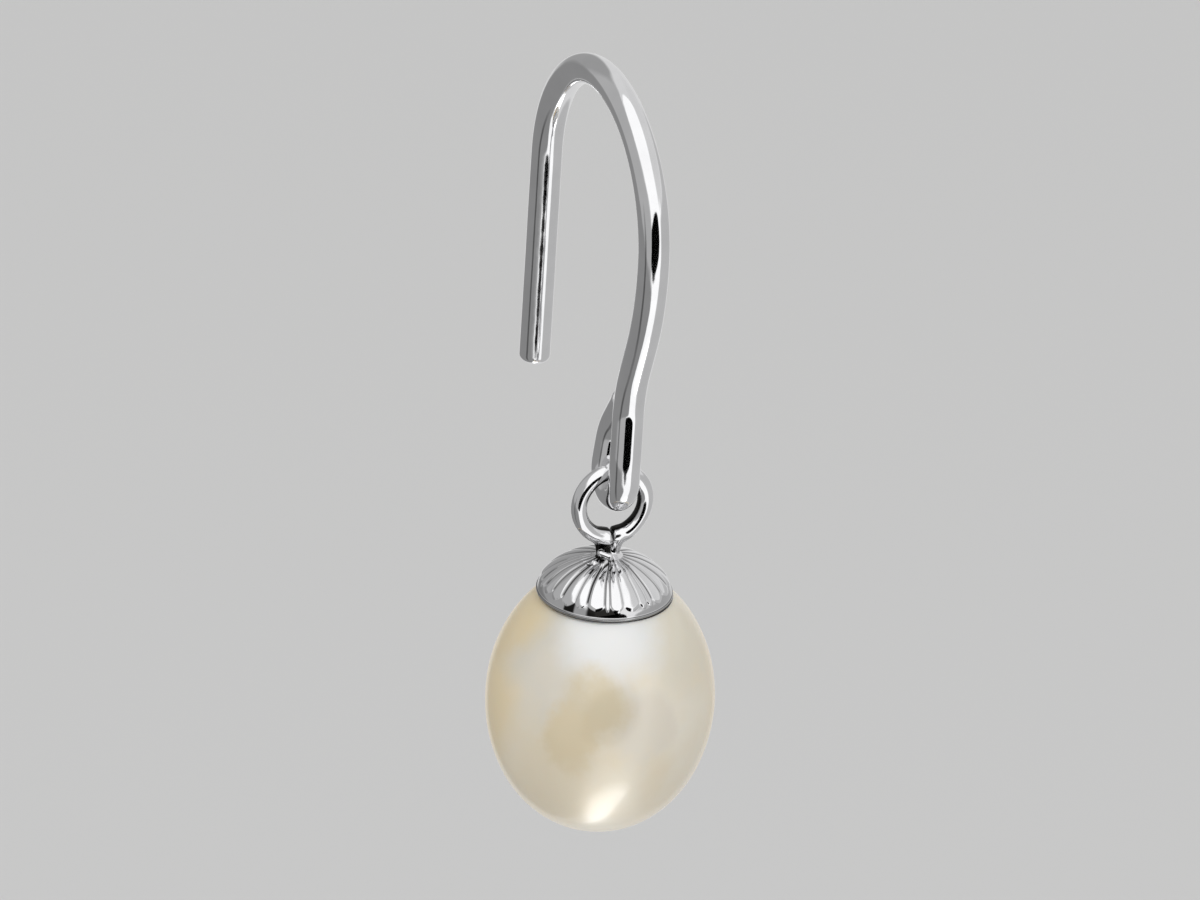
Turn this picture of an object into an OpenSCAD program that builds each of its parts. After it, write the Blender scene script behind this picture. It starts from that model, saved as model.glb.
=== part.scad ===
// Pearl drop earring: a bent ear wire, a fluted cap soldered under a ring, and a pearl on its peg.
// Millimetres. Z is up, the front of the ear wire faces -Y, and the drop hangs down the Z axis.
// The origin is on the wire's centreline, where the wire passes through the ear.

/* [Ear wire] */
// Diameter of the round wire
wire_d = 1.02; // [0.9:0.01:1.04]
// Radius of the crown that goes over the ear, on the wire's centreline
crown_r = 4.5; // [4.2:0.1:5]
// Slope of the wire where it passes through the ear, in degrees below the level
ear_slope = 33; // [30:1:36]
// Length of the straight back leg
back_leg = 7.4; // [5:0.1:9]
// Radius of the long bend in the front leg
front_r = 8.7; // [8:0.1:10]
// How far the front leg leans in, in degrees
front_lean = 20; // [18:1:22]
// Radius of the bend that turns the front leg upright again
upright_r = 5; // [3:0.5:6]
// Depth of the loop's lowest wire below the ear, on the wire's centreline
loop_depth = 12.88; // [12.6:0.02:14]
// Straight rise of the loop's short side, past the ring
tail_rise = 0.8; // [0.76:0.02:1]
// Radius of the bend that turns the short side in toward the front leg
tail_r = 1.6; // [1.5:0.1:2]
// How far the short side's end leans in, in degrees
tail_lean = 25; // [16:1:25]
// Length of the leaning end
tail_run = 1.05; // [0.7:0.05:1.05]

/* [Ring] */
// Diameter of the ring's wire
ring_wire_d = 0.53; // [0.45:0.01:0.55]
// Diameter of the ring, on its wire's centreline
ring_d = 2.32; // [2.25:0.01:2.5]
// Clearance between the ring's wire and the inside of the loop
ring_play = 0.045; // [0.04:0.005:0.08]
// Diameter of the short neck between the ring and the cap
neck_d = 0.42; // [0.36:0.02:0.46]

/* [Cap] */
// Distance from the ring's centre down to the top of the cap
cap_drop = 1.86; // [1.8:0.01:1.95]
// Diameter of the cap
cap_d = 4.46; // [4.36:0.02:4.56]
// Height of the cap's dome
cap_h = 1.34; // [1.3:0.01:1.4]
// Number of ribs around the cap
ribs = 18; // [14:1:22]
// Greatest depth of the grooves between the ribs
groove_depth = 0.17; // [0.1:0.01:0.2]
// Angle from the top at which the grooves end above the plain rim, in degrees
groove_end = 80; // [74:1:84]

/* [Pearl] */
// Diameter of the pearl across its widest part
pearl_d = 7.5; // [7.3:0.05:7.7]
// Length of the pearl from top to bottom
pearl_l = 9.14; // [9:0.02:9.3]
// Distance from the top of the cap down to the middle of the pearl
pearl_drop = 5.15; // [5.13:0.01:5.2]
// Fullness of the lower half, where 1 is a plain ellipse and less is blunter
lower_fullness = 0.95; // [0.9:0.01:1]
// Diameter of the peg that holds the pearl
peg_d = 0.8; // [0.6:0.05:1]
// Length of the peg inside the pearl
peg_l = 3; // [2:0.1:4]
// Clearance between the pearl and the metal
seat_gap = 0.03; // [0.02:0.005:0.04]

/* [Hidden] */
$fn = 64;

wire_r = wire_d / 2;
ring_wire_r = ring_wire_d / 2;
ring_r = ring_d / 2;

// A bend is a hair thicker than a straight run, whose end is seated inside it.
bend_d = wire_d + 0.006;
bend_seat = 0.02;

// The loop's bend leaves room inside it for the ring's wire.
loop_r = bend_d / 2 + ring_wire_r + ring_play;
loop_z = loop_r - loop_depth;

// The crown's centre lies behind and below the place where the wire passes through the ear.
crown_y = crown_r * sin(ear_slope);
crown_z = -crown_r * cos(ear_slope);

// The leaning run ends where the upright leg comes down to the front of the loop.
lean_step = (front_r + upright_r) * (1 - cos(front_lean));
lean_run = (crown_r - crown_y - lean_step - loop_r) / sin(front_lean);
lean_drop = (front_r + upright_r) * sin(front_lean) + lean_run * cos(front_lean);
front_run = 0.2;
leg_run = crown_z - front_run - lean_drop - loop_z;

// Bends of the ear wire from the foot of its back leg, as it goes up.
// Columns: straight run, radius of the bend after it, angle of that bend.
wire_path = [
    [back_leg, crown_r, 180],
    [front_run, front_r, front_lean],
    [lean_run, upright_r, -front_lean],
    [leg_run, loop_r, 180],
    [tail_rise, tail_r, tail_lean],
    [tail_run, 0, 0]
];

// The foot of the back leg is narrowed so that it passes through the ear.
foot_h = 0.2;
foot_d = 0.62;

ring_z = loop_z - ring_r;
cap_top_z = ring_z - cap_drop;
cap_r = cap_d / 2;
dome_z = cap_top_z - cap_h;
pearl_z = cap_top_z - pearl_drop;
pearl_r = pearl_d / 2;
pearl_top_z = pearl_z + pearl_l / 2;

// The cap's rim is this much wider than the edge on which it stands.
rim_curl = 0.05;
// Angles from the top of the dome at which its rings of points lie.
dome_angles = [10, 18, 27, 36, 45, 54, 62, 69, 76, 83, 90];
// Shares of the way from the rim's edge to the middle at which the inside's rings lie.
seat_shares = [1, 0.66, 0.33];
// Shares of one rib's width, from one groove to the next, at which points lie.
rib_shares = [0, 0.12, 0.3, 0.5, 0.7, 0.88];
cap_turns = [for (i = [0:ribs - 1]) for (q = rib_shares) (i + q) * 360 / ribs];

// Depth of the groove at an angle from the top and at a turn around the axis.
function groove_shape(turn) = let (q = turn * ribs / 360) pow(abs(2 * (q - floor(q)) - 1), 3);
function groove_fade(angle) = angle < groove_end ? sin(180 * pow(angle / groove_end, 0.8)) : 0;
function groove(angle, turn) = groove_depth * groove_shape(turn) * groove_fade(angle);

// A point of the dome, set in along the dome's normal by the groove's depth.
function dome_point(angle, turn) =
    let (
        slope = [cap_h * sin(angle), cap_r * cos(angle)],
        inset = groove(angle, turn) * slope / norm(slope),
        r = cap_r * sin(angle) - inset[0],
        z = cap_h * cos(angle) - inset[1]
    )
    [r * cos(turn), r * sin(turn), dome_z + z];

// A point of the cap's inside, which follows the pearl at the seat's clearance.
function seat_point(r, turn) =
    let (z = (pearl_l / 2 + seat_gap) * sqrt(1 - pow(r / (pearl_r + seat_gap), 2)))
    [r * cos(turn), r * sin(turn), pearl_z + z];

// The pearl's outline from the top down: an ellipse that is blunter in its lower half.
function pearl_outline(angle) =
    [pearl_r * pow(sin(angle), angle > 90 ? lower_fullness : 1), pearl_l / 2 * cos(angle)];

// Faces of a closed skin: a top point, rings of n points that follow each other, an end point.
function skin_faces(n, rings) =
    let (last = n * rings + 1)
    concat(
        [for (i = [0:n - 1]) [0, 1 + (i + 1) % n, 1 + i]],
        [
            for (k = [0:rings - 2], i = [0:n - 1])
                let (a = 1 + k * n + i, b = 1 + k * n + (i + 1) % n)
                each [[a, b, b + n], [a, b + n, a + n]]
        ],
        [for (i = [0:n - 1]) [last, last - n + i, last - n + (i + 1) % n]]
    );

// A bend that starts along +Z and turns toward -Y, or toward +Y with a negative angle.
module wire_bend(r, angle) {
    mirror([0, angle < 0 ? 1 : 0, 0])
        translate([0, -r, 0])
            rotate([90, 0, 90])
                rotate_extrude(angle = abs(angle), $fn = 128)
                    translate([r, 0])
                        circle(d = bend_d);
}

// A round wire that follows a table of straight runs and bends, from its first row on.
module bent_wire(path, row = 0) {
    run = path[row][0];
    r = path[row][1];
    angle = path[row][2];
    centre = [0, -sign(angle) * r, run];
    seat_before = row > 0 ? bend_seat : 0;
    seat_after = angle != 0 ? bend_seat : 0;
    translate([0, 0, -seat_before])
        cylinder(d = wire_d, h = seat_before + run + seat_after);
    if (angle != 0)
        translate([0, 0, run])
            wire_bend(r, angle);
    if (row < len(path) - 1)
        translate(centre)
            rotate([angle, 0, 0])
                translate([0, -centre[1], 0])
                    bent_wire(path, row + 1);
}

module ear_hook() {
    color([0.80, 0.81, 0.82])
        translate([0, crown_y + crown_r, crown_z - back_leg]) {
            bent_wire(wire_path);
            translate([0, 0, -foot_h])
                cylinder(d1 = foot_d, d2 = wire_d, h = foot_h);
        }
}

module dome() {
    rings = concat(
        [for (angle = dome_angles) [for (turn = cap_turns) dome_point(angle, turn)]],
        [for (s = seat_shares) [for (turn = cap_turns) seat_point(s * (cap_r - rim_curl), turn)]]
    );
    points = concat(
        [dome_point(0, 0)],
        [for (ring = rings) each ring],
        [seat_point(0, 0)]
    );
    polyhedron(points, skin_faces(len(cap_turns), len(rings)));
}

module pearl_cap() {
    hub_h = 0.22;
    hub_d = 0.86;
    color([0.78, 0.79, 0.80]) {
        dome();
        translate([0, 0, ring_z])
            rotate([90, 0, 0])
                rotate_extrude($fn = 96)
                    translate([ring_r, 0])
                        circle(d = ring_wire_d);
        translate([0, 0, cap_top_z - hub_h])
            cylinder(d = neck_d, h = ring_z - ring_r - cap_top_z + hub_h);
        translate([0, 0, cap_top_z - hub_h / 2])
            cylinder(d1 = hub_d, d2 = neck_d, h = hub_h);
        translate([0, 0, pearl_top_z - peg_l])
            cylinder(d = peg_d, h = cap_top_z - hub_h - pearl_top_z + peg_l);
    }
}

module pearl() {
    outline_step = 5;
    hole_d = peg_d + 2 * seat_gap;
    hole_l = peg_l + 0.1;
    color([0.89, 0.86, 0.79])
        translate([0, 0, pearl_z])
            difference() {
                rotate_extrude($fn = 128)
                    polygon([for (angle = [0:outline_step:180]) pearl_outline(angle)]);
                translate([0, 0, pearl_l / 2 - hole_l])
                    cylinder(d = hole_d, h = hole_l + 1);
            }
}

ear_hook();
pearl_cap();
pearl();
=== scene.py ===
"""Looks of the pearl drop earring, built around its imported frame.

Lengths are in millimetres until a mesh is made. Those of the stage are in metres.
"""

import math

import bmesh
import bpy
import numpy as np
from mathutils import Matrix, Vector


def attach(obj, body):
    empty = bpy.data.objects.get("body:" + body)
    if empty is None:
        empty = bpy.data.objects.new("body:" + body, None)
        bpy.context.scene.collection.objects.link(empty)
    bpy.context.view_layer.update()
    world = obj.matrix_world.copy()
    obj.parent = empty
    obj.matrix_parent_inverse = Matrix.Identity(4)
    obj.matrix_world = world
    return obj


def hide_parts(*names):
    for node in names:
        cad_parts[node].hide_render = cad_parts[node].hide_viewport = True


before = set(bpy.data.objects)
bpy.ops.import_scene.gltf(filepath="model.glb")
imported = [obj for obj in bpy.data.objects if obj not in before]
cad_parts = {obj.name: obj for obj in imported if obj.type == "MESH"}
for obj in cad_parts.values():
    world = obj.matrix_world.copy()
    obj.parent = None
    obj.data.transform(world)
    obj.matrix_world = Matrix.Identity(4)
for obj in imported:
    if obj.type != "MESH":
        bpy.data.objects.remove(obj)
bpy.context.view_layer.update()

SCENE = bpy.context.scene
MM = 0.001

# Ear wire, from the foot of its back leg: straight run, radius of the bend after it and its angle.
WIRE_R = 0.51
WIRE_FOOT = (6.951, -11.174)
WIRE_PATH = (
    (7.4, 4.5, 180),
    (0.2, 8.7, 20),
    (1.1693, 5.0, -20),
    (2.2986, 0.823, 180),
    (0.8, 1.6, 25),
    (1.05, 0.0, 0),
)
# The foot's rounded end: how far below the path its rings lie, its length, its fullness, its tip.
FOOT_DROPS = (0.2, 0.195, 0.185, 0.165, 0.135, 0.095, 0.05)
FOOT_ROUND = 0.3
FOOT_FULLNESS = 2.2
FOOT_TIP_R = 0.12
# The free end is cut square over this length: each ring's distance from the end, and its radius.
CUT_LENGTH = 0.05
CUT_RINGS = ((0.0, 0.2), (0.0, 0.46), (0.006, 0.478), (0.02, 0.495), (0.04, 0.505))
# The loop's free side, from its lowest wire on: its length, how far its end leans sideways, and
# the power of its rise with which the lean grows.
TAIL_LENGTH = 3.84
TAIL_SHIFT = 0.42
TAIL_CURVE = 1.35
# Depth of the wire's unevenness, and the radius above which the wire has it.
WIRE_UNEVEN = 0.002
UNEVEN_FROM_R = 0.3
# How far the pressed face of the lower leg turns upward, in degrees.
LEG_TILT = 7.5

RING_R = 1.16
RING_WIRE_R = 0.265
RING_Z = -13.217
RING_LOW_Z = RING_Z - RING_R
RING_INNER_Z = RING_LOW_Z + RING_WIRE_R

CAP_R = 2.24
CAP_H = 1.34
CAP_TOP_Z = -15.077
DOME_Z = CAP_TOP_Z - CAP_H

PEARL_R = 3.75
PEARL_L = 9.14
PEARL_Z = -20.227
PEARL_TOP_Z = PEARL_Z + PEARL_L / 2
# Fullness of the lower half, where 1 is a plain ellipse and less is blunter.
LOWER_FULLNESS = 0.95
# The pearl is a little uneven: its mean and greatest size, its swells and its dimples, as shares.
PEARL_MEAN = 0.9962
PEARL_MOST = 0.9995
PEARL_SWELL = 0.0030
PEARL_DIMPLE = 0.0006
SEAT_GAP = 0.03

PEG_R = 0.4
PEG_L = 3.0
PEG_END_Z = PEARL_TOP_Z - PEG_L
PEG_EDGE = 0.1

# The ring's wire ends run down side by side: where each starts and ends, and its radius there.
RIGHT_END = ((0.24, 0, RING_LOW_Z), (0.16, 0, CAP_TOP_Z - 0.1), 0.22, 0.17)
LEFT_END = ((-0.3, 0, RING_LOW_Z), (-0.2, 0, CAP_TOP_Z - 0.1), 0.24, 0.21)
# A small bead of solder at the foot of the left end, and its radius.
BEAD = ((-0.37, -0.18, CAP_TOP_Z + 0.17), (-0.13, -0.33, CAP_TOP_Z + 0.09))
BEAD_R = 0.12
# Spacing of the points on the ring's skin.
SKIN_STEP = 0.024

# Valleys between the cap's petals: degrees to the right of the camera, share of the full depth.
VALLEYS = (
    (-172, 0.9), (-153, 1.0), (-133, 0.8), (-112, 1.0), (-93, 0.9), (-81, 0.8),
    (-69, 0.9), (-56, 0.9), (-42, 1.0), (-27, 0.45), (-15.4, 1.0), (1.6, 0.65),
    (6.2, 0.65), (19, 0.35), (35, 0.4), (43, 0.3), (50, 1.0), (66, 0.8),
    (84, 0.9), (103, 1.0), (121, 0.8), (140, 1.0), (160, 0.9),
)
GROOVE_DEPTH = 0.11
# Petals narrower than this, in degrees, have shallower valleys.
FULL_PETAL = 15
# Angles from the top of the dome: where its rings of points start, where a petal ends between
# its valleys, how much sooner it ends beside them, and where the plain band begins.
TOP_ANGLE = 2.5
SCALLOP_ANGLE = 74.5
SCALLOP_RISE = 7
BAND_ANGLE = 83
# How far the step under the petals' ends is pressed in.
SCALLOP_DEPTH = 0.038
# Fullness of the dome's shoulder, where 1 is an ellipse and more is flatter.
SHOULDER = 1.15
# Sideways offset of the pressed dome's rim.
LEAN = np.array([-0.070, 0.020])
# The band draws in toward its foot: radius, height above the dome's foot, share of painted shade.
BAND = (
    (2.203, 0.1, 0.9),
    (2.226, 0.08, 0.4),
    (2.228, 0.05, 0.5),
    (2.214, 0.01, 0.7),
    (2.2, -0.015, 0.97),
    (2.19, -0.045, 0.97),
)
# The rim turns under it: radius and height above the dome's foot.
RIM = ((2.165, -0.05), (2.125, 0.002))
# Radii at which the rings of the cap's inside lie, down to the peg.
SEAT_RADII = (2.09, 1.9, 1.5, 1.1, 0.7, PEG_R + 0.01)
# The rings after the band that share its foot's painted shade: the rim and the edge of the inside.
RIM_PAINTED_SHADE = (0.97, 0.97, 0.97)
# Every petal begins in a low swell: its height, its angle from the top and its reach in degrees.
SWELL_H = 0.015
SWELL_ANGLE = 12.5
SWELL_REACH = 2.6
# The front petals also begin in small knobs (start, end, reach) and lines of painted shade along
# their creases (start, end, half their width), in plan from the cap's axis.
KNOB_H = 0.10
KNOBS = (
    ((-0.635, -0.290), (-0.620, -0.280), 0.11),
    ((-0.440, -0.550), (-0.265, -0.420), 0.09),
)
PAINTED_CREASE_SHADE = (
    ((-0.755, -0.600), (-0.890, -0.710), 0.040),
    ((-0.280, -0.565), (-0.425, -0.665), 0.040),
    ((-0.200, -0.750), (-0.310, -0.870), 0.035),
    ((-0.849, -0.276), (-0.730, -0.385), 0.030),
    ((-0.420, -0.340), (-0.350, -0.290), 0.070),
)

# Patches on the nacre, partly its own golden and cream tone and partly painted light: the cool
# whitish ones are painted highlight, and the darker grey ones and the deep golden ones near the
# middle of the view are painted shade. Each has an azimuth to the right of the view and elevation,
# radius in degrees at which it has faded out and at which it is full, how ragged its edge is, and
# its colour.
NACRE_TONE_AND_PAINTED_LIGHT = (
    ((-86, 6), 49, 20, 0.04, (0.80, 0.68, 0.46)),
    ((-52, 44), 34, 8, 0.03, (0.70, 0.67, 0.60)),
    ((-88, 46), 36, 12, 0.04, (0.76, 0.64, 0.42)),
    ((-26, 22), 26, 6, 0.03, (0.75, 0.71, 0.63)),
    ((24, 7), 22, 5, 0.03, (0.76, 0.71, 0.62)),
    ((62, 44), 36, 8, 0.03, (0.72, 0.68, 0.58)),
    ((110, -5), 50, 20, 0.08, (0.81, 0.71, 0.53)),
    ((-24, -22), 38, 10, 0.06, (0.81, 0.73, 0.58)),
    ((5, 51), 34, 10, 0.03, (0.79, 0.80, 0.81)),
    ((-4, 18), 21, 5, 0.03, (0.72, 0.635, 0.465)),
    ((-13, 3), 20, 4, 0.03, (0.75, 0.65, 0.465)),
    ((176, 36), 48, 12, 0.06, (0.80, 0.79, 0.77)),
    ((152, -2), 30, 6, 0.06, (0.76, 0.68, 0.51)),
    ((-158, -16), 28, 6, 0.06, (0.77, 0.69, 0.54)),
)
# Colour of the painted shade: dark reflections and shadow painted into the metal's hollows, seams
# and rim.
PAINTED_SHADE_COLOUR = (0.020, 0.019, 0.018)

# The photograph's view: its direction round and above the object, how far the picture leans, the
# picture's width in pixels and its scale.
VIEW_AZIMUTH = -24.0
VIEW_ELEVATION = 26.0
VIEW_ROLL = 3.6
PICTURE_W = 1200
PX_PER_MM = 31.0

# Stage, in metres: the camera's distance and aim, and how far the aim is shifted to its left.
CAMERA_DISTANCE = 0.45
CAMERA_AIM = Vector((0, 0, -0.01135))
CAMERA_RIGHT = Vector((0.9135, -0.4067, 0))
CAMERA_SHIFT = -0.0005
SENSOR_W = 36
# The lights and panels stand round this spot.
MIDDLE = Vector((0, 0, -0.0135))
FLOOR_Z = -0.078
FLOOR_REACH = 4
FLOOR_COLOUR = (0.62, 0.62, 0.618, 1)
# Brightness of the even light all round, and of what the camera sees of it behind the floor.
TENT = 0.74
TENT_SEEN = 0.52


def toward(azimuth, elevation):
    """Unit vector from the object, at an azimuth to the right of the view and an elevation."""
    a = math.radians(VIEW_AZIMUTH + azimuth)
    e = math.radians(elevation)
    return Vector((math.sin(a) * math.cos(e), -math.cos(a) * math.cos(e), math.sin(e)))


def smoothstep(low, high, x):
    t = np.clip((x - low) / (high - low), 0, 1)
    return t * t * (3 - 2 * t)


def waves(points, length, seed, count=10):
    """A smooth seeded field of about -1 to 1, whose swells are about this long."""
    rng = np.random.default_rng(seed)
    total = np.zeros(points.shape[:-1])
    for _ in range(count):
        way = rng.normal(size=3)
        way *= 2 * math.pi / (length * rng.uniform(0.7, 1.5) * np.linalg.norm(way))
        total += np.sin(points @ way + rng.uniform(0, 2 * math.pi))
    return total / math.sqrt(count)


def mesh_piece(name, points, faces, material, normals=None, painted_shade=None):
    """A smooth mesh piece from points in millimetres.

    The last argument gives each point's painted shade, from 0 to 1: how dark the metal is painted
    where shade and dark reflections fall.
    """
    mesh = bpy.data.meshes.new(name)
    mesh.from_pydata((points * MM).tolist(), [], faces)
    solid = bmesh.new()
    solid.from_mesh(mesh)
    bmesh.ops.recalc_face_normals(solid, faces=solid.faces)
    solid.to_mesh(mesh)
    solid.free()
    mesh.polygons.foreach_set("use_smooth", [True] * len(mesh.polygons))
    if normals is not None:
        mesh.normals_split_custom_set_from_vertices(normals.tolist())
    if painted_shade is not None:
        mesh.attributes.new("painted_shade", "FLOAT", "POINT").data.foreach_set("value", painted_shade)
    mesh.materials.append(material)
    piece = bpy.data.objects.new(name, mesh)
    SCENE.collection.objects.link(piece)
    return piece


def closed_skin(rings, start, end):
    """Points and faces of a closed skin: a start point, rings of equal count, an end point."""
    rows, n = rings.shape[:2]
    points = np.vstack([[start], rings.reshape(-1, 3), [end]])
    last = rows * n + 1
    i = np.arange(n)
    j = (i + 1) % n
    faces = [[0, 1 + b, 1 + a] for a, b in zip(i, j)]
    for k in range(rows - 1):
        low, high = 1 + k * n, 1 + (k + 1) * n
        faces += np.stack([low + i, low + j, high + j, high + i], 1).tolist()
    low = 1 + (rows - 1) * n
    faces += [[last, low + a, low + b] for a, b in zip(i, j)]
    return points, faces


def gradient(field, points, reach=1e-4):
    parts = []
    for axis in range(3):
        offset = np.zeros(3)
        offset[axis] = reach
        parts.append((field(points + offset) - field(points - offset)) / (2 * reach))
    return np.stack(parts, 1)


def skin_of_field(field, low, high, step):
    """Points, faces and normals of the surface on which a distance field is zero."""
    axes = [np.arange(a, b, step) for a, b in zip(low, high)]
    inside = field(np.stack(np.meshgrid(*axes, indexing="ij"), -1)) < 0
    count = np.zeros([n - 1 for n in inside.shape], int)
    rows, columns, layers = count.shape
    for a in (0, 1):
        for b in (0, 1):
            for c in (0, 1):
                count += inside[a : a + rows, b : b + columns, c : c + layers]
    # One point lies in each cell that the surface crosses, and is drawn onto the surface.
    crossed = (count > 0) & (count < 8)
    index = np.full(crossed.shape, -1)
    index[crossed] = np.arange(crossed.sum())
    points = np.array(low) + (np.argwhere(crossed) + 0.5) * step
    for _ in range(5):
        slope = gradient(field, points)
        points -= field(points)[:, None] * slope / (slope**2).sum(1)[:, None]
    faces = []
    for axis in range(3):
        u, v = [a for a in range(3) if a != axis]
        ahead = np.diff(inside.astype(int), axis=axis)
        for cell in np.argwhere(ahead != 0):
            corners = []
            for du, dv in ((-1, -1), (0, -1), (0, 0), (-1, 0)):
                c = cell.copy()
                c[u] += du
                c[v] += dv
                corners.append(index[tuple(c)])
            faces.append(corners)
    slope = gradient(field, points)
    return points, faces, slope / np.linalg.norm(slope, axis=1)[:, None]


def blended(a, b, reach):
    """The two fields joined, with a fillet of about this reach."""
    h = np.clip(0.5 + 0.5 * (b - a) / reach, 0, 1)
    return b * (1 - h) + a * h - reach * h * (1 - h)


def blended_cut(a, b, reach):
    """The part that is in both fields, with an edge rounded to about this reach."""
    return -blended(-a, -b, reach)


def rod(p, start, end, start_r=0, end_r=0):
    """Distance field of a round rod, whose radius may change from its start to its end."""
    start, end = np.array(start), np.array(end)
    along = np.clip((p - start) @ (end - start) / ((end - start) @ (end - start)), 0, 1)
    axis_gap = np.linalg.norm(p - start - along[..., None] * (end - start), axis=-1)
    return axis_gap - start_r - along * (end_r - start_r)


class Shader:
    """A node material with one Principled shader, and short calls for its nodes."""

    def __init__(self, name, **values):
        self.material = bpy.data.materials.new(name)
        self.material.use_nodes = True
        self.tree = self.material.node_tree
        self.surface = self.tree.nodes["Principled BSDF"]
        for key, value in values.items():
            self.surface.inputs[key.replace("_", " ")].default_value = value

    def node(self, kind, inputs=(), **settings):
        made = self.tree.nodes.new(kind)
        for key, value in settings.items():
            setattr(made, key, value)
        for key, value in dict(inputs).items():
            if isinstance(value, bpy.types.NodeSocket):
                self.tree.links.new(value, made.inputs[key])
            else:
                made.inputs[key].default_value = value
        return made

    def place(self, scale):
        """The object's own coordinates in millimetres, stretched by a factor on each axis."""
        coordinate = self.node("ShaderNodeTexCoord")
        return self.node(
            "ShaderNodeMapping",
            {"Vector": coordinate.outputs["Object"], "Scale": [s / MM for s in scale]},
        ).outputs["Vector"]

    def noise(self, vector, scale, detail, roughness=0.5):
        return self.node(
            "ShaderNodeTexNoise",
            {"Vector": vector, "Scale": scale, "Detail": detail, "Roughness": roughness},
        ).outputs["Fac"]

    def spread(self, noise, low, high):
        """A noise, most of which lies between 0.3 and 0.7, spread from low to high."""
        return self.node(
            "ShaderNodeMapRange",
            {"Value": noise, "From Min": 0.3, "From Max": 0.7, "To Min": low, "To Max": high},
        ).outputs["Result"]

    def ramp(self, value, stops):
        made = self.node("ShaderNodeValToRGB", {"Fac": value})
        made.color_ramp.elements[0].position = stops[0][0]
        made.color_ramp.elements[0].color = (*stops[0][1], 1)
        made.color_ramp.elements[1].position = stops[-1][0]
        made.color_ramp.elements[1].color = (*stops[-1][1], 1)
        for position, colour in stops[1:-1]:
            made.color_ramp.elements.new(position).color = (*colour, 1)
        return made.outputs["Color"]

    def mixed(self, share, colour, other):
        """The first colour, turned into the second by this share.

        Sockets 6 and 7 hold the node's two colours, and output 2 is the mixed one.
        """
        inputs = {0: share, 6: colour, 7: (*other, 1)}
        return self.node("ShaderNodeMix", inputs, data_type="RGBA").outputs[2]

    def bump(self, heights):
        """Bumps laid on each other: each a height from 0 to 1, and its real depth."""
        normal = None
        for height, depth in heights:
            inputs = {"Height": height, "Distance": depth * MM, "Strength": 1.0}
            if normal:
                inputs["Normal"] = normal
            normal = self.node("ShaderNodeBump", inputs).outputs["Normal"]
        self.link(normal, "Normal")

    def link(self, output, socket):
        self.tree.links.new(output, self.surface.inputs[socket])


def metal(name, colours, roughness, lump_depth, scratch_scale):
    """Polished white metal with soft lumps, fine scratches, a varied shine and painted shade."""
    shader = Shader(name, Metallic=1.0)
    place = shader.place((1, 1, 1))
    clean = shader.ramp(shader.noise(place, 0.9, 4.0), ((0.3, colours[0]), (0.7, colours[1])))
    # Painted shade: the base colour turns dark where each point's attribute says, standing in for
    # shade and dark reflections.
    painted_shade = shader.node("ShaderNodeAttribute", attribute_name="painted_shade").outputs["Fac"]
    shader.link(shader.mixed(painted_shade, clean, PAINTED_SHADE_COLOUR), "Base Color")
    shader.link(shader.spread(shader.noise(place, 2.6, 5.0, 0.6), *roughness), "Roughness")
    scratches = shader.noise(shader.place(scratch_scale), 1.0, 2.0, 0.6)
    lumps = shader.noise(place, 1.6, 1.0)
    grain = shader.noise(place, 26.0, 2.0)
    shader.bump(((lumps, lump_depth), (scratches, 0.0006), (grain, 0.0002)))
    return shader.material


def nacre():
    """Cream nacre with golden clouds, lit from within, under a satin coat, with a cool bloom of
    painted highlight and patches of painted shade.
    """
    shader = Shader(
        "nacre",
        Metallic=0.12,
        Roughness=0.42,
        IOR=1.6,
        Subsurface_Weight=0.3,
        Subsurface_Radius=(1.0, 0.76, 0.55),
        Subsurface_Scale=0.8 * MM,
        Coat_Weight=0.85,
        Coat_Roughness=0.14,
        Coat_IOR=1.55,
        Coat_Tint=(1.0, 0.99, 0.96, 1.0),
        Sheen_Weight=0.35,
        Sheen_Roughness=0.45,
        Sheen_Tint=(1.0, 0.84, 0.58, 1.0),
    )
    place = shader.place((1, 1, 1))
    creams = ((0.34, (0.80, 0.71, 0.55)), (0.50, (0.81, 0.75, 0.63)), (0.66, (0.83, 0.79, 0.70)))
    colour = shader.ramp(shader.noise(place, 0.30, 3.0, 0.55), creams)
    # Each patch, of the nacre's own tone or of painted highlight or shade, lies round a direction
    # from the pearl's middle, with a soft, ragged edge.
    sphere = shader.node(
        "ShaderNodeMapping",
        {
            "Vector": place,
            "Location": (0, 0, -PEARL_Z / PEARL_L * 2),
            "Scale": (1 / PEARL_R, 1 / PEARL_R, 2 / PEARL_L),
        },
    ).outputs["Vector"]
    clouds = shader.noise(place, 0.6, 4.0, 0.6)
    for side, outer, inner, rag, tint in NACRE_TONE_AND_PAINTED_LIGHT:
        near = shader.node(
            "ShaderNodeVectorMath", {0: sphere, 1: toward(*side)}, operation="DOT_PRODUCT"
        )
        ragged = shader.node(
            "ShaderNodeMath",
            {0: near.outputs["Value"], 1: shader.spread(clouds, -rag, rag)},
            operation="ADD",
        )
        patch = shader.node(
            "ShaderNodeMapRange",
            {
                "Value": ragged.outputs["Value"],
                "From Min": math.cos(math.radians(outer)),
                "From Max": math.cos(math.radians(inner)),
                "To Min": 0.0,
                "To Max": 1.0,
            },
            interpolation_type="SMOOTHSTEP",
        )
        colour = shader.mixed(patch.outputs["Result"], colour, tint)
    shader.link(colour, "Base Color")
    fine = shader.noise(place, 9.0, 4.0, 0.6)
    swells = shader.noise(place, 1.5, 2.0)
    shader.bump(((swells, 0.010), (fine, 0.0006)))
    return shader.material


wire_metal = metal(
    "polished_wire", ((0.80, 0.80, 0.81), (0.86, 0.86, 0.87)), (0.04, 0.09), 0.004, (9, 9, 1.2)
)
cap_metal = metal(
    "polished_cap", ((0.80, 0.80, 0.81), (0.87, 0.87, 0.88)), (0.05, 0.11), 0.006, (7, 7, 2)
)
pearl_nacre = nacre()


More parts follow.
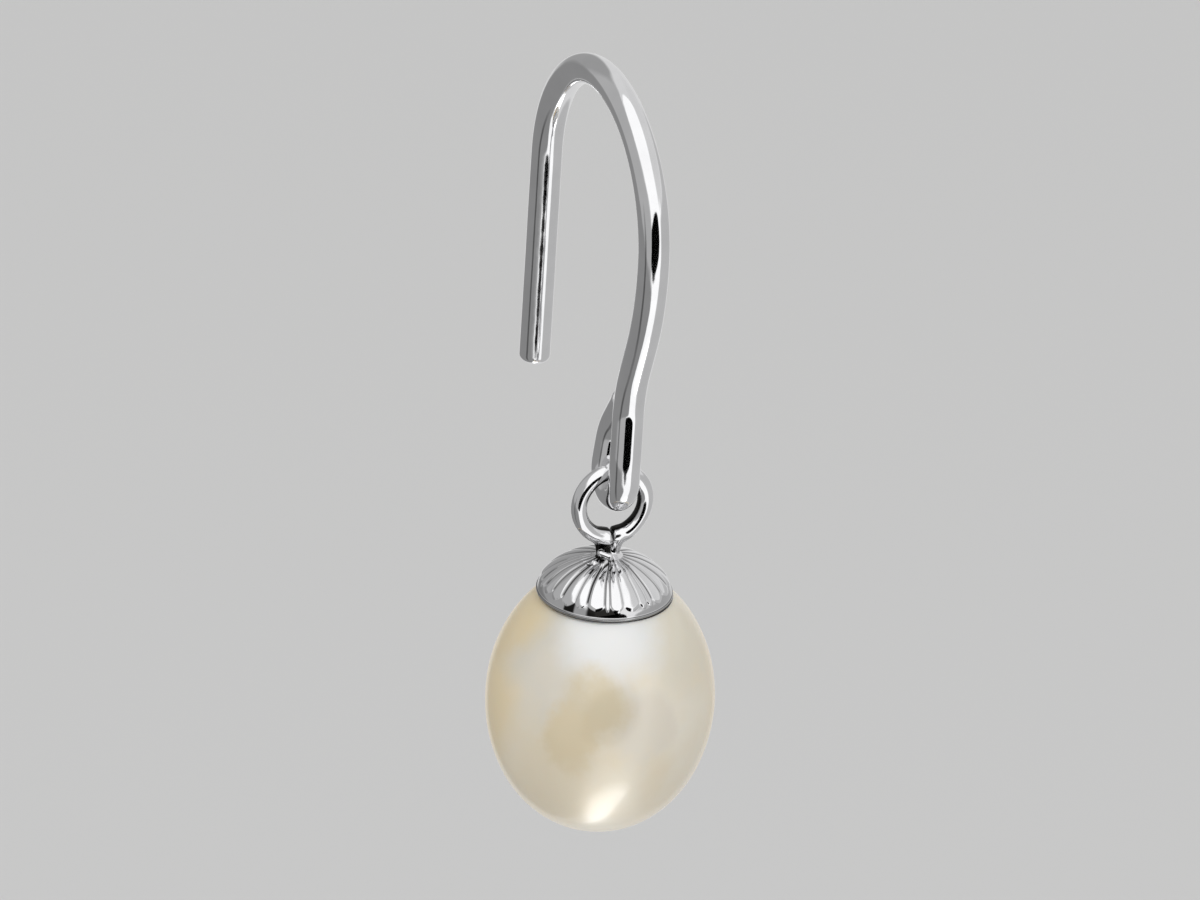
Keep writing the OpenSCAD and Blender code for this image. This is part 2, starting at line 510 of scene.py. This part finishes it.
def wire_line(step):
    """Points (y, z) a step apart on the wire's centreline, from its foot to its free end."""
    spot = np.array(WIRE_FOOT)
    heading = 0.0
    line = []
    for run, radius, angle in WIRE_PATH:
        way = np.array([-math.sin(heading), math.cos(heading)])
        count = max(1, round(run / step))
        line += [spot + way * run * k / count for k in range(count)]
        spot = spot + way * run
        side = math.copysign(1, angle)
        hub = spot + side * radius * np.array([-math.cos(heading), -math.sin(heading)])
        turn = math.radians(angle)
        count = max(1, round(abs(turn) * radius / step)) if angle else 0
        for k in range(count):
            h = heading + turn * k / count
            line.append(hub - side * radius * np.array([-math.cos(h), -math.sin(h)]))
        heading += turn
        if angle:
            spot = hub - side * radius * np.array([-math.cos(heading), -math.sin(heading)])
    line.append(spot)
    return np.array(line)


def eased(line, reach):
    """The line with its bends eased over this many points, and its ends kept."""
    pad = 3 * reach
    kernel = np.exp(-0.5 * (np.arange(-pad, pad + 1) / reach) ** 2)
    kernel /= kernel.sum()
    k = np.arange(1, pad + 1)[:, None]
    before = line[0] - k[::-1] * (line[1] - line[0])
    after = line[-1] + k * (line[-1] - line[-2])
    long = np.vstack([before, line, after])
    return np.stack([np.convolve(long[:, a], kernel, "valid") for a in (0, 1)], 1)


def distance_along(line):
    """Each point's distance from the line's start, along the line."""
    return np.concatenate([[0], np.cumsum(np.linalg.norm(np.diff(line, axis=0), axis=1))])


def ear_wire(sides=56, step=0.05):
    """The ear wire, from its rounded foot to the loop's free end."""
    line = eased(wire_line(step), 2)
    foot = line[0] + np.array([[0, -drop] for drop in FOOT_DROPS])
    line = np.vstack([foot, line])
    ways = np.gradient(line, axis=0)
    ways /= np.linalg.norm(ways, axis=1)[:, None]
    gone = distance_along(line)
    rounded = np.clip(1 - gone / FOOT_ROUND, 0, 1) ** FOOT_FULLNESS
    radii = WIRE_R * (1 - rounded) ** (1 / FOOT_FULLNESS)
    radii[0] = FOOT_TIP_R
    cut = np.array(CUT_RINGS)[::-1]
    keep = gone < gone[-1] - CUT_LENGTH
    line = np.vstack([line[keep], [line[-1] - ways[-1] * back for back, _ in cut]])
    radii = np.concatenate([radii[keep], cut[:, 1]])
    ways = np.vstack([ways[keep], np.repeat(ways[-1:], len(cut), 0)])
    # The loop's free end leans a little sideways as it rises behind the front leg.
    gone = distance_along(line)
    risen = np.clip(1 - (gone[-1] - gone) / TAIL_LENGTH, 0, 1)
    centres = np.column_stack([TAIL_SHIFT * risen**TAIL_CURVE, line])
    across = np.stack([np.zeros(len(ways)), -ways[:, 1], ways[:, 0]], 1)
    turn = np.linspace(0, 2 * math.pi, sides, endpoint=False)
    out = np.cos(turn)[None, :, None] * np.array([1.0, 0, 0])
    out = out + np.sin(turn)[None, :, None] * across[:, None, :]
    rings = centres[:, None, :] + out * radii[:, None, None]
    uneven = WIRE_UNEVEN + WIRE_UNEVEN * waves(rings, 2.6, 11)
    rings -= out * uneven[..., None] * (radii[:, None, None] > UNEVEN_FROM_R)
    points, faces = closed_skin(rings, centres[0], centres[-1])
    piece = mesh_piece("ear_hook_wire", points, faces, wire_metal)
    # The lower leg is pressed so that it faces up a little, which its reflections show.
    mesh = piece.data
    normals = np.empty(len(points) * 3)
    mesh.vertex_normals.foreach_get("vector", normals)
    normals = normals.reshape(-1, 3)
    y, z = points[:, 1], points[:, 2]
    pressed = smoothstep(-9.3, -9.8, z) * smoothstep(-11.6, -11.0, z) * smoothstep(-0.3, -0.9, y)
    normals[:, 2] += math.tan(math.radians(LEG_TILT)) * pressed
    normals /= np.linalg.norm(normals, axis=1)[:, None]
    mesh.normals_split_custom_set_from_vertices(normals.tolist())
    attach(piece, "hook")
    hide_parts("ear_hook")


def petal_place(turn):
    """How near each turn is to a valley, from 0 to 1, the depth there and its petal's width."""
    angles = np.array([a for a, _ in VALLEYS])
    depths = np.array([d for _, d in VALLEYS])
    k = np.searchsorted(angles, turn, side="right") - 1
    after = (k + 1) % len(angles)
    low = np.where(k < 0, angles[-1] - 360, angles[k])
    high = np.where(k + 1 < len(angles), angles[after], angles[0] + 360)
    share = (turn - low) / (high - low)
    depth = depths[k] * (1 - share) + depths[after] * share
    return np.abs(2 * share - 1), depth, high - low


def petal_grooves(turn, angle, valley, depth, width):
    """How far the dome is pressed in at each turn and angle, and where the petals end.

    The petals are flat, with narrow valleys that begin at the neck.
    """
    full = GROOVE_DEPTH * depth * np.minimum(1, (width / FULL_PETAL) ** 0.6)
    petal = 0.32 * valley**2 + 0.68 * valley**8
    groove = full * petal * smoothstep(5, 15, angle) * np.sin(np.radians(angle)) ** 0.4
    uneven = 1.2 * np.sin(np.radians(turn * 7.3)) * (1 - valley)
    scallop = SCALLOP_ANGLE - SCALLOP_RISE * valley**1.6 + uneven
    step = smoothstep(scallop - 5, scallop + 1.5, angle)
    return groove + (SCALLOP_DEPTH - groove) * step, scallop


def petal_painted_shade(turn, angle, valley, depth, width, scallop):
    """How much painted shade lies between the petals at each turn and angle, from 0 to 1."""
    # A painted line of shade lies in each valley, and is wider at the sides.
    gap = (1 - valley) / 2 * np.radians(width) * CAP_R * np.sin(np.radians(angle))
    reach = 0.030 + 0.022 * smoothstep(24, 48, np.abs(turn - 4))
    line = depth * np.exp(-((gap / reach) ** 2)) * smoothstep(7, 14, angle)
    line = line * (1 - smoothstep(scallop - 6, scallop, angle))
    # Round the neck the valleys get soft painted shade.
    soft = 0.3 * depth * valley**3 * smoothstep(8, 14, angle) * smoothstep(46, 16, angle)
    # On the front left, where the petals are gathered, the metal between them is painted dark as
    # shade.
    gathered = smoothstep(-78, -55, turn) * smoothstep(8, 0, turn)
    between = gathered * smoothstep(0.25, 0.6, valley) * smoothstep(8.5, 10, angle)
    between = between * smoothstep(19, 15, angle)
    return np.maximum(np.maximum(line, soft), between)


def step_painted_shade(turn, angle, scallop):
    """How much painted shade the step under the petals' ends has, most of all at the front,
    standing in for dark reflections.
    """
    front = smoothstep(-37, -35.5, turn) * smoothstep(-25, -27, turn)
    front = front + smoothstep(-16, -13, turn) * smoothstep(16, 12, turn)
    step = smoothstep(scallop - 1, scallop + 0.5, angle)
    step = step * smoothstep(BAND_ANGLE, BAND_ANGLE - 1.5, angle)
    return step * (0.25 + 0.75 * front)


def seat_z(r):
    """Height of the cap's inside, which follows the pearl."""
    return PEARL_Z + (PEARL_L / 2 + SEAT_GAP) * math.sqrt(1 - (r / (PEARL_R + SEAT_GAP)) ** 2)


def cap_flutes(columns=760, rows=110):
    """The cap: a pressed dome of petals above a plain band, and the peg below it."""
    turn = np.linspace(VALLEYS[0][0], VALLEYS[0][0] + 360, columns, endpoint=False)
    angle = np.linspace(TOP_ANGLE, BAND_ANGLE, rows)[:, None]
    radians = np.radians(angle)
    world = np.radians(turn + VIEW_AZIMUTH - 90)
    plan = CAP_R * np.sin(radians)[..., None] * np.stack([np.cos(world), np.sin(world)], -1)
    valley, depth, width = petal_place(turn)
    groove, scallop = petal_grooves(turn, angle, valley, depth, width)
    painted_shade = petal_painted_shade(turn, angle, valley, depth, width, scallop)
    # Lines of painted shade along the front creases.
    for start, end, half in PAINTED_CREASE_SHADE:
        gap = rod(plan, start, end)
        painted_shade = np.maximum(painted_shade, smoothstep(1.4 * half, 0.6 * half, gap))
    knob = SWELL_H * (1 - valley**2) * np.exp(-(((angle - SWELL_ANGLE) / SWELL_REACH) ** 2))
    for start, end, reach in KNOBS:
        gap = rod(plan, start, end)
        knob = np.maximum(knob, KNOB_H * smoothstep(1.3 * reach, 0, gap))
        painted_shade = painted_shade * smoothstep(0.6 * reach, reach, gap)
    painted_shade = np.maximum(painted_shade, step_painted_shade(turn, angle, scallop))
    # The grooves and knobs are set off along the dome's normal.
    inset = groove - knob
    fall = np.cos(radians) ** SHOULDER
    slope = np.stack([CAP_H * SHOULDER * np.tan(radians) * fall, CAP_R * np.cos(radians)], -1)
    slope /= np.linalg.norm(slope, axis=-1, keepdims=True)
    radius = CAP_R * np.sin(radians) - inset * slope[..., 0]
    height = DOME_Z + CAP_H * fall - inset * slope[..., 1]
    # The rest is round: the band, the rim, the inside and the peg.
    rest = [(r, DOME_Z + z) for r, z, _ in BAND] + [(r, DOME_Z + z) for r, z in RIM]
    rest += [(r, seat_z(r)) for r in SEAT_RADII]
    rest += [(PEG_R, rest[-1][1] - 0.03), (PEG_R, PEG_END_Z + PEG_EDGE)]
    rest += [(PEG_R - PEG_EDGE, PEG_END_Z)]
    rest = np.array(rest)
    radius = np.vstack([radius, np.repeat(rest[:, :1], columns, 1)])
    height = np.vstack([height, np.repeat(rest[:, 1:], columns, 1)])
    rings = np.stack([radius * np.cos(world), radius * np.sin(world), height], -1)
    # The dome was pressed a little to the left, but its seat is true.
    outer = slice(0, rows + len(BAND))
    rings[outer, :, :2] += LEAN * (smoothstep(0.6, 1.6, radius[outer]))[..., None]
    points, faces = closed_skin(rings, (0, 0, CAP_TOP_Z - 0.01), (0, 0, PEG_END_Z))
    # The band is painted dark toward its foot, where it meets the pearl, as painted shade.
    band_painted_shade = [share for _, _, share in BAND] + list(RIM_PAINTED_SHADE)
    dark = np.concatenate([[0], painted_shade.ravel(), np.repeat(band_painted_shade, columns)])
    dark = np.pad(dark, (0, len(points) - len(dark)))
    piece = mesh_piece("cap_flutes", points, faces, cap_metal, painted_shade=dark)
    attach(piece, "drop")
    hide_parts("pearl_cap")


def pressed_side(x, y):
    """How far a point lies toward the side on which the ring's left end is pressed flat."""
    return -0.33 * x - 0.94 * y


def ring_field(p):
    """Distance field of the ring, whose ends meet at a seam and run down into the cap."""
    x, y, z = p[..., 0], p[..., 1], p[..., 2]
    # The wire is thicker toward its two ends, above all the right one.
    low = smoothstep(RING_Z, RING_Z - 0.5, z)
    thicker_left = 0.02 * np.exp(-(((x + 0.55) / 0.45) ** 2))
    thicker = thicker_left + 0.05 * np.exp(-(((x - 0.6) / 0.4) ** 2))
    ring = np.hypot(np.hypot(x, z - RING_Z) - RING_R - thicker * low, y)
    ring = ring - RING_WIRE_R - 0.6 * thicker * low
    left_end = blended_cut(rod(p, *LEFT_END), pressed_side(x, y) - 0.19, 0.03)
    ends = blended(left_end, rod(p, *RIGHT_END), 0.05)
    # The ends' solder flares out onto the cap.
    above = np.maximum(z - CAP_TOP_Z, 0)
    flare = np.hypot(x, y) - 0.10 - 0.36 * np.exp(-above / 0.07)
    flare = np.maximum(flare, z - CAP_TOP_Z - 0.3)
    solid = blended(blended(ring, ends, 0.2), flare, 0.1)
    solid = blended(solid, rod(p, *BEAD, BEAD_R, BEAD_R), 0.03)
    # A notch in the ring's lowest inside and a seam below it part the two ends.
    notch = 0.13 * np.exp(-((x / 0.05) ** 2))
    notch = notch * np.exp(-(((z - RING_INNER_Z + 0.08) / 0.15) ** 2))
    seam = 0.05 * np.exp(-(((x - 0.02) / 0.022) ** 2))
    seam = seam * smoothstep(CAP_TOP_Z + 0.1, RING_INNER_Z - 0.1, z) * (z < RING_INNER_Z)
    return np.maximum(solid + notch + seam, CAP_TOP_Z - 0.15 - z)


def ring_painted_shade(points):
    """How much painted shade the ring's inside, its seam and two places on it have at each point,
    from 0 to 1, standing in for shade and dark reflections.
    """
    x, y, z = points.T
    # Painted shade on the inside of the ring and in its seam.
    around = np.hypot(x, z - RING_Z)
    inward = (RING_R - around) / np.hypot(RING_R - around, y)
    inside = smoothstep(0.72, 0.86, inward) * smoothstep(RING_LOW_Z, RING_LOW_Z + 0.2, z)
    seam = np.exp(-(((x - 0.01) / 0.04) ** 2))
    seam = seam * smoothstep(CAP_TOP_Z + 0.25, RING_INNER_Z - 0.2, z) * (z < RING_INNER_Z)
    # Painted shade on the left end's pressed side, apart from the bead on it.
    pressed = smoothstep(0.06, 0.12, pressed_side(x, y)) * smoothstep(0.04, -0.02, x)
    pressed = pressed * smoothstep(RING_LOW_Z - 0.20, RING_LOW_Z - 0.24, z)
    pressed = pressed * smoothstep(BEAD_R * 1.05, BEAD_R * 1.3, rod(points, *BEAD))
    # A crescent of painted dark reflection on the front, on the upper left.
    upper_left = smoothstep(-0.25, -0.45, x) * smoothstep(RING_Z + 0.05, RING_Z + 0.4, z) * (y < 0)
    crescent = 0.95 * upper_left * smoothstep(0.25, 0.4, inward) * smoothstep(0.82, 0.72, inward)
    return np.max([inside, seam, pressed, crescent], axis=0)


def cap_ring():
    """The ring above the cap, with its neck and their solder."""
    reach = RING_R + RING_WIRE_R + 0.08
    low = (-reach, -0.72, CAP_TOP_Z - 0.24)
    high = (reach, 0.72, RING_Z + reach)
    points, faces, normals = skin_of_field(ring_field, low, high, SKIN_STEP)
    piece = mesh_piece("cap_ring", points, faces, cap_metal, normals, ring_painted_shade(points))
    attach(piece, "drop")


def pearl(columns=200, rows=150):
    """The pearl, with the hole for its peg."""
    angle = np.radians(np.linspace(7.5, 179, rows))[:, None]
    turn = np.linspace(0, 2 * math.pi, columns, endpoint=False)[None, :]
    power = np.where(angle > math.pi / 2, LOWER_FULLNESS, 1.0)
    flat = np.sin(angle) ** power
    shape = np.stack([flat * np.cos(turn), flat * np.sin(turn), np.cos(angle) + 0 * turn], -1)
    size = PEARL_MEAN + PEARL_SWELL * waves(shape, 2.6, 5, 6) / 2
    size = size + PEARL_DIMPLE * waves(shape, 0.5, 8)
    size = np.minimum(size, PEARL_MOST)[..., None]
    rings = shape * size * np.array([PEARL_R, PEARL_R, PEARL_L / 2])
    rings = rings + np.array([0, 0, PEARL_Z])
    # The hole for the peg has one ring of points at its foot and one at its mouth.
    hole_r = PEG_R + SEAT_GAP
    hole_l = PEG_L + 0.1
    x, y = hole_r * np.cos(turn[0]), hole_r * np.sin(turn[0])
    hole = [np.stack([x, y, np.full(columns, PEARL_TOP_Z - depth)], -1) for depth in (hole_l, 0.02)]
    rings = np.vstack([np.array(hole), rings])
    end = (0, 0, PEARL_Z - PEARL_L / 2 * 0.9975)
    points, faces = closed_skin(rings, (0, 0, PEG_END_Z - 0.1), end)
    piece = mesh_piece("pearl_drop", points, faces, pearl_nacre)
    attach(piece, "drop")
    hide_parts("pearl")


ear_wire()
cap_flutes()
cap_ring()
pearl()


def facing(spot, target):
    """Matrix at a spot whose -Z looks at the target."""
    turned = (target - spot).to_track_quat("-Z", "Y").to_matrix().to_4x4()
    return Matrix.Translation(spot) @ turned


def softbox(name, azimuth, elevation, distance, size, radiance):
    """A soft rectangular light that neither the camera nor reflections see."""
    light = bpy.data.lights.new(name, "AREA")
    light.shape = "RECTANGLE"
    light.size, light.size_y = size
    light.energy = radiance * math.pi * size[0] * size[1]
    lamp = bpy.data.objects.new(name, light)
    lamp.matrix_world = facing(MIDDLE + toward(azimuth, elevation) * distance, MIDDLE)
    lamp.visible_camera = False
    lamp.visible_glossy = False
    SCENE.collection.objects.link(lamp)


def closed_curve(corners, steps=8):
    """A smooth closed curve through unit vectors, kept on the unit sphere."""
    points = []
    count = len(corners)
    for k in range(count):
        a, b, c, d = (corners[(k + j) % count] for j in (-1, 0, 1, 2))
        square = 2 * a - 5 * b + 4 * c - d
        cube = 3 * b - a - 3 * c + d
        for i in range(steps):
            t = i / steps
            points.append(0.5 * (2 * b + (c - a) * t + square * t**2 + cube * t**3))
    points = np.array(points)
    return points / np.linalg.norm(points, axis=1)[:, None]


def panel_material(name, radiance):
    """A light of its own, which is as clear as its cover attribute is low."""
    material = bpy.data.materials.new(name)
    material.use_nodes = True
    tree = material.node_tree
    tree.nodes.clear()
    light = tree.nodes.new("ShaderNodeEmission")
    light.inputs["Strength"].default_value = radiance
    clear = tree.nodes.new("ShaderNodeBsdfTransparent")
    cover = tree.nodes.new("ShaderNodeAttribute")
    cover.attribute_name = "cover"
    mix = tree.nodes.new("ShaderNodeMixShader")
    surface = tree.nodes.new("ShaderNodeOutputMaterial")
    tree.links.new(cover.outputs["Fac"], mix.inputs["Fac"])
    tree.links.new(clear.outputs["BSDF"], mix.inputs[1])
    tree.links.new(light.outputs["Emission"], mix.inputs[2])
    tree.links.new(mix.outputs["Shader"], surface.inputs["Surface"])
    return material


def panel(name, outline, radiance, distance, feather=0.06):
    """A soft-edged panel round these directions, which only reflections show."""
    edge = closed_curve([np.array(toward(*way)) for way in outline])
    middle = edge.mean(0)
    n = len(edge)
    shares = sorted({0.15, 0.3, 0.45, 0.6, 0.75, 0.9, 1 - feather, 1.0})
    points = np.vstack([[middle]] + [middle + (edge - middle) * share for share in shares])
    points *= distance / np.linalg.norm(points, axis=1)[:, None]
    cover = [1.0] + [min(1.0, (1 - share) / feather) for share in shares for _ in range(n)]
    faces = [(0, 1 + k, 1 + (k + 1) % n) for k in range(n)]
    for row in range(len(shares) - 1):
        a, b = 1 + row * n, 1 + (row + 1) * n
        faces += [(a + k, b + k, b + (k + 1) % n, a + (k + 1) % n) for k in range(n)]
    mesh = bpy.data.meshes.new(name)
    mesh.from_pydata((points + np.array(MIDDLE)).tolist(), [], faces)
    mesh.attributes.new("cover", "FLOAT", "POINT").data.foreach_set("value", cover)
    mesh.materials.append(panel_material(name, radiance))
    piece = bpy.data.objects.new(name, mesh)
    piece.visible_camera = False
    piece.visible_shadow = False
    piece.visible_diffuse = False
    piece.visible_transmission = False
    SCENE.collection.objects.link(piece)


floor_mesh = bpy.data.meshes.new("floor")
corners = ((-1, -1), (1, -1), (1, 1), (-1, 1))
floor_points = [(x * FLOOR_REACH, y * FLOOR_REACH, FLOOR_Z) for x, y in corners]
floor_mesh.from_pydata(floor_points, [], [(0, 1, 2, 3)])
floor_mesh.materials.append(Shader("floor", Base_Color=FLOOR_COLOUR, Roughness=0.9).material)
floor = bpy.data.objects.new("floor", floor_mesh)
# The metal mirrors the tent and its panels in the floor's place, and the low light shines
# through the floor.
floor.visible_glossy = False
floor.visible_shadow = False
SCENE.collection.objects.link(floor)

world = bpy.data.worlds.new("tent")
world.use_nodes = True
tent = world.node_tree.nodes["Background"]
tent.inputs["Color"].default_value = (1, 1, 1, 1)
# Behind the floor's edge the camera sees the floor's own brightness, so no horizon shows.
path = world.node_tree.nodes.new("ShaderNodeLightPath")
strength = world.node_tree.nodes.new("ShaderNodeMapRange")
strength.inputs["To Min"].default_value = TENT
strength.inputs["To Max"].default_value = TENT_SEEN
world.node_tree.links.new(path.outputs["Is Camera Ray"], strength.inputs["Value"])
world.node_tree.links.new(strength.outputs["Result"], tent.inputs["Strength"])
SCENE.world = world

softbox("top_light", 0, 62, 0.60, (0.50, 0.45), 1.55)
softbox("bounce_light", -40, -40, 0.45, (0.36, 0.36), 0.7)

panel(
    "white_panel",
    (
        (-20, -64), (-15, -30), (-13, 16), (-32, 32), (-80, 52), (-150, 68),
        (130, 62), (84, 50), (72, 20), (56, -10), (50, -45), (28, -66),
    ),
    1.15,
    1.4,
)
panel(
    "dark_panel",
    (
        (-16, -21), (-16, -6), (-13, 3), (0, 12), (13, 18), (26, 20),
        (37, 17), (41, 3), (37, -12), (26, -22), (10, -27), (-4, -26),
    ),
    0.0,
    0.9,
    0.05,
)
panel(
    "left_panel",
    (
        (-18, -64), (-4, -50), (4, -36), (0, -28), (-14, -24),
        (-40, -20), (-80, -10), (-150, 0), (-150, -76),
    ),
    0.27,
    1.15,
    0.2,
)
panel(
    "upper_left_panel",
    ((-13, -30), (-12, 12), (-40, 34), (-80, 52), (-150, 52), (-150, -10), (-60, -26)),
    0.46,
    1.25,
    0.3,
)
panel(
    "back_left_panel",
    ((-126, 46), (-126, -12), (-176, -14), (-178, 25), (-160, 50)),
    0.36,
    1.2,
    0.3,
)
panel(
    "upper_right_panel",
    ((58, 14), (52, 40), (80, 62), (160, 60), (165, 14)),
    0.70,
    1.3,
    0.3,
)
panel(
    "side_panel",
    ((50, -55), (50, -20), (56, 12), (110, 12), (150, 10), (150, -55)),
    0.52,
    1.25,
    0.2,
)
panel(
    "edge_strip",
    ((-66, -60), (-68, -25), (-64, 2), (-54, 2), (-50, -25), (-48, -60)),
    0.08,
    1.0,
    0.8,
)
panel(
    "low_panel",
    (
        (-168, -70), (-60, -83), (-9, -68), (23, -53), (44, -51),
        (52, -59), (62, -73), (143, -79), (-178, -71),
    ),
    4.2,
    0.8,
    0.4,
)

camera_data = bpy.data.cameras.new("camera")
camera_data.sensor_width = SENSOR_W
camera_data.lens = SENSOR_W * CAMERA_DISTANCE / (PICTURE_W / PX_PER_MM * MM)
camera_data.clip_start = 0.01
camera_data.clip_end = 20
camera = bpy.data.objects.new("camera", camera_data)
SCENE.collection.objects.link(camera)
SCENE.camera = camera
aim = CAMERA_AIM + CAMERA_RIGHT * CAMERA_SHIFT
view = facing(aim + toward(0, VIEW_ELEVATION) * CAMERA_DISTANCE, aim)
camera.matrix_world = view @ Matrix.Rotation(math.radians(VIEW_ROLL), 4, "Z")

SCENE.view_settings.view_transform = "Standard"
SCENE.view_settings.look = "None"
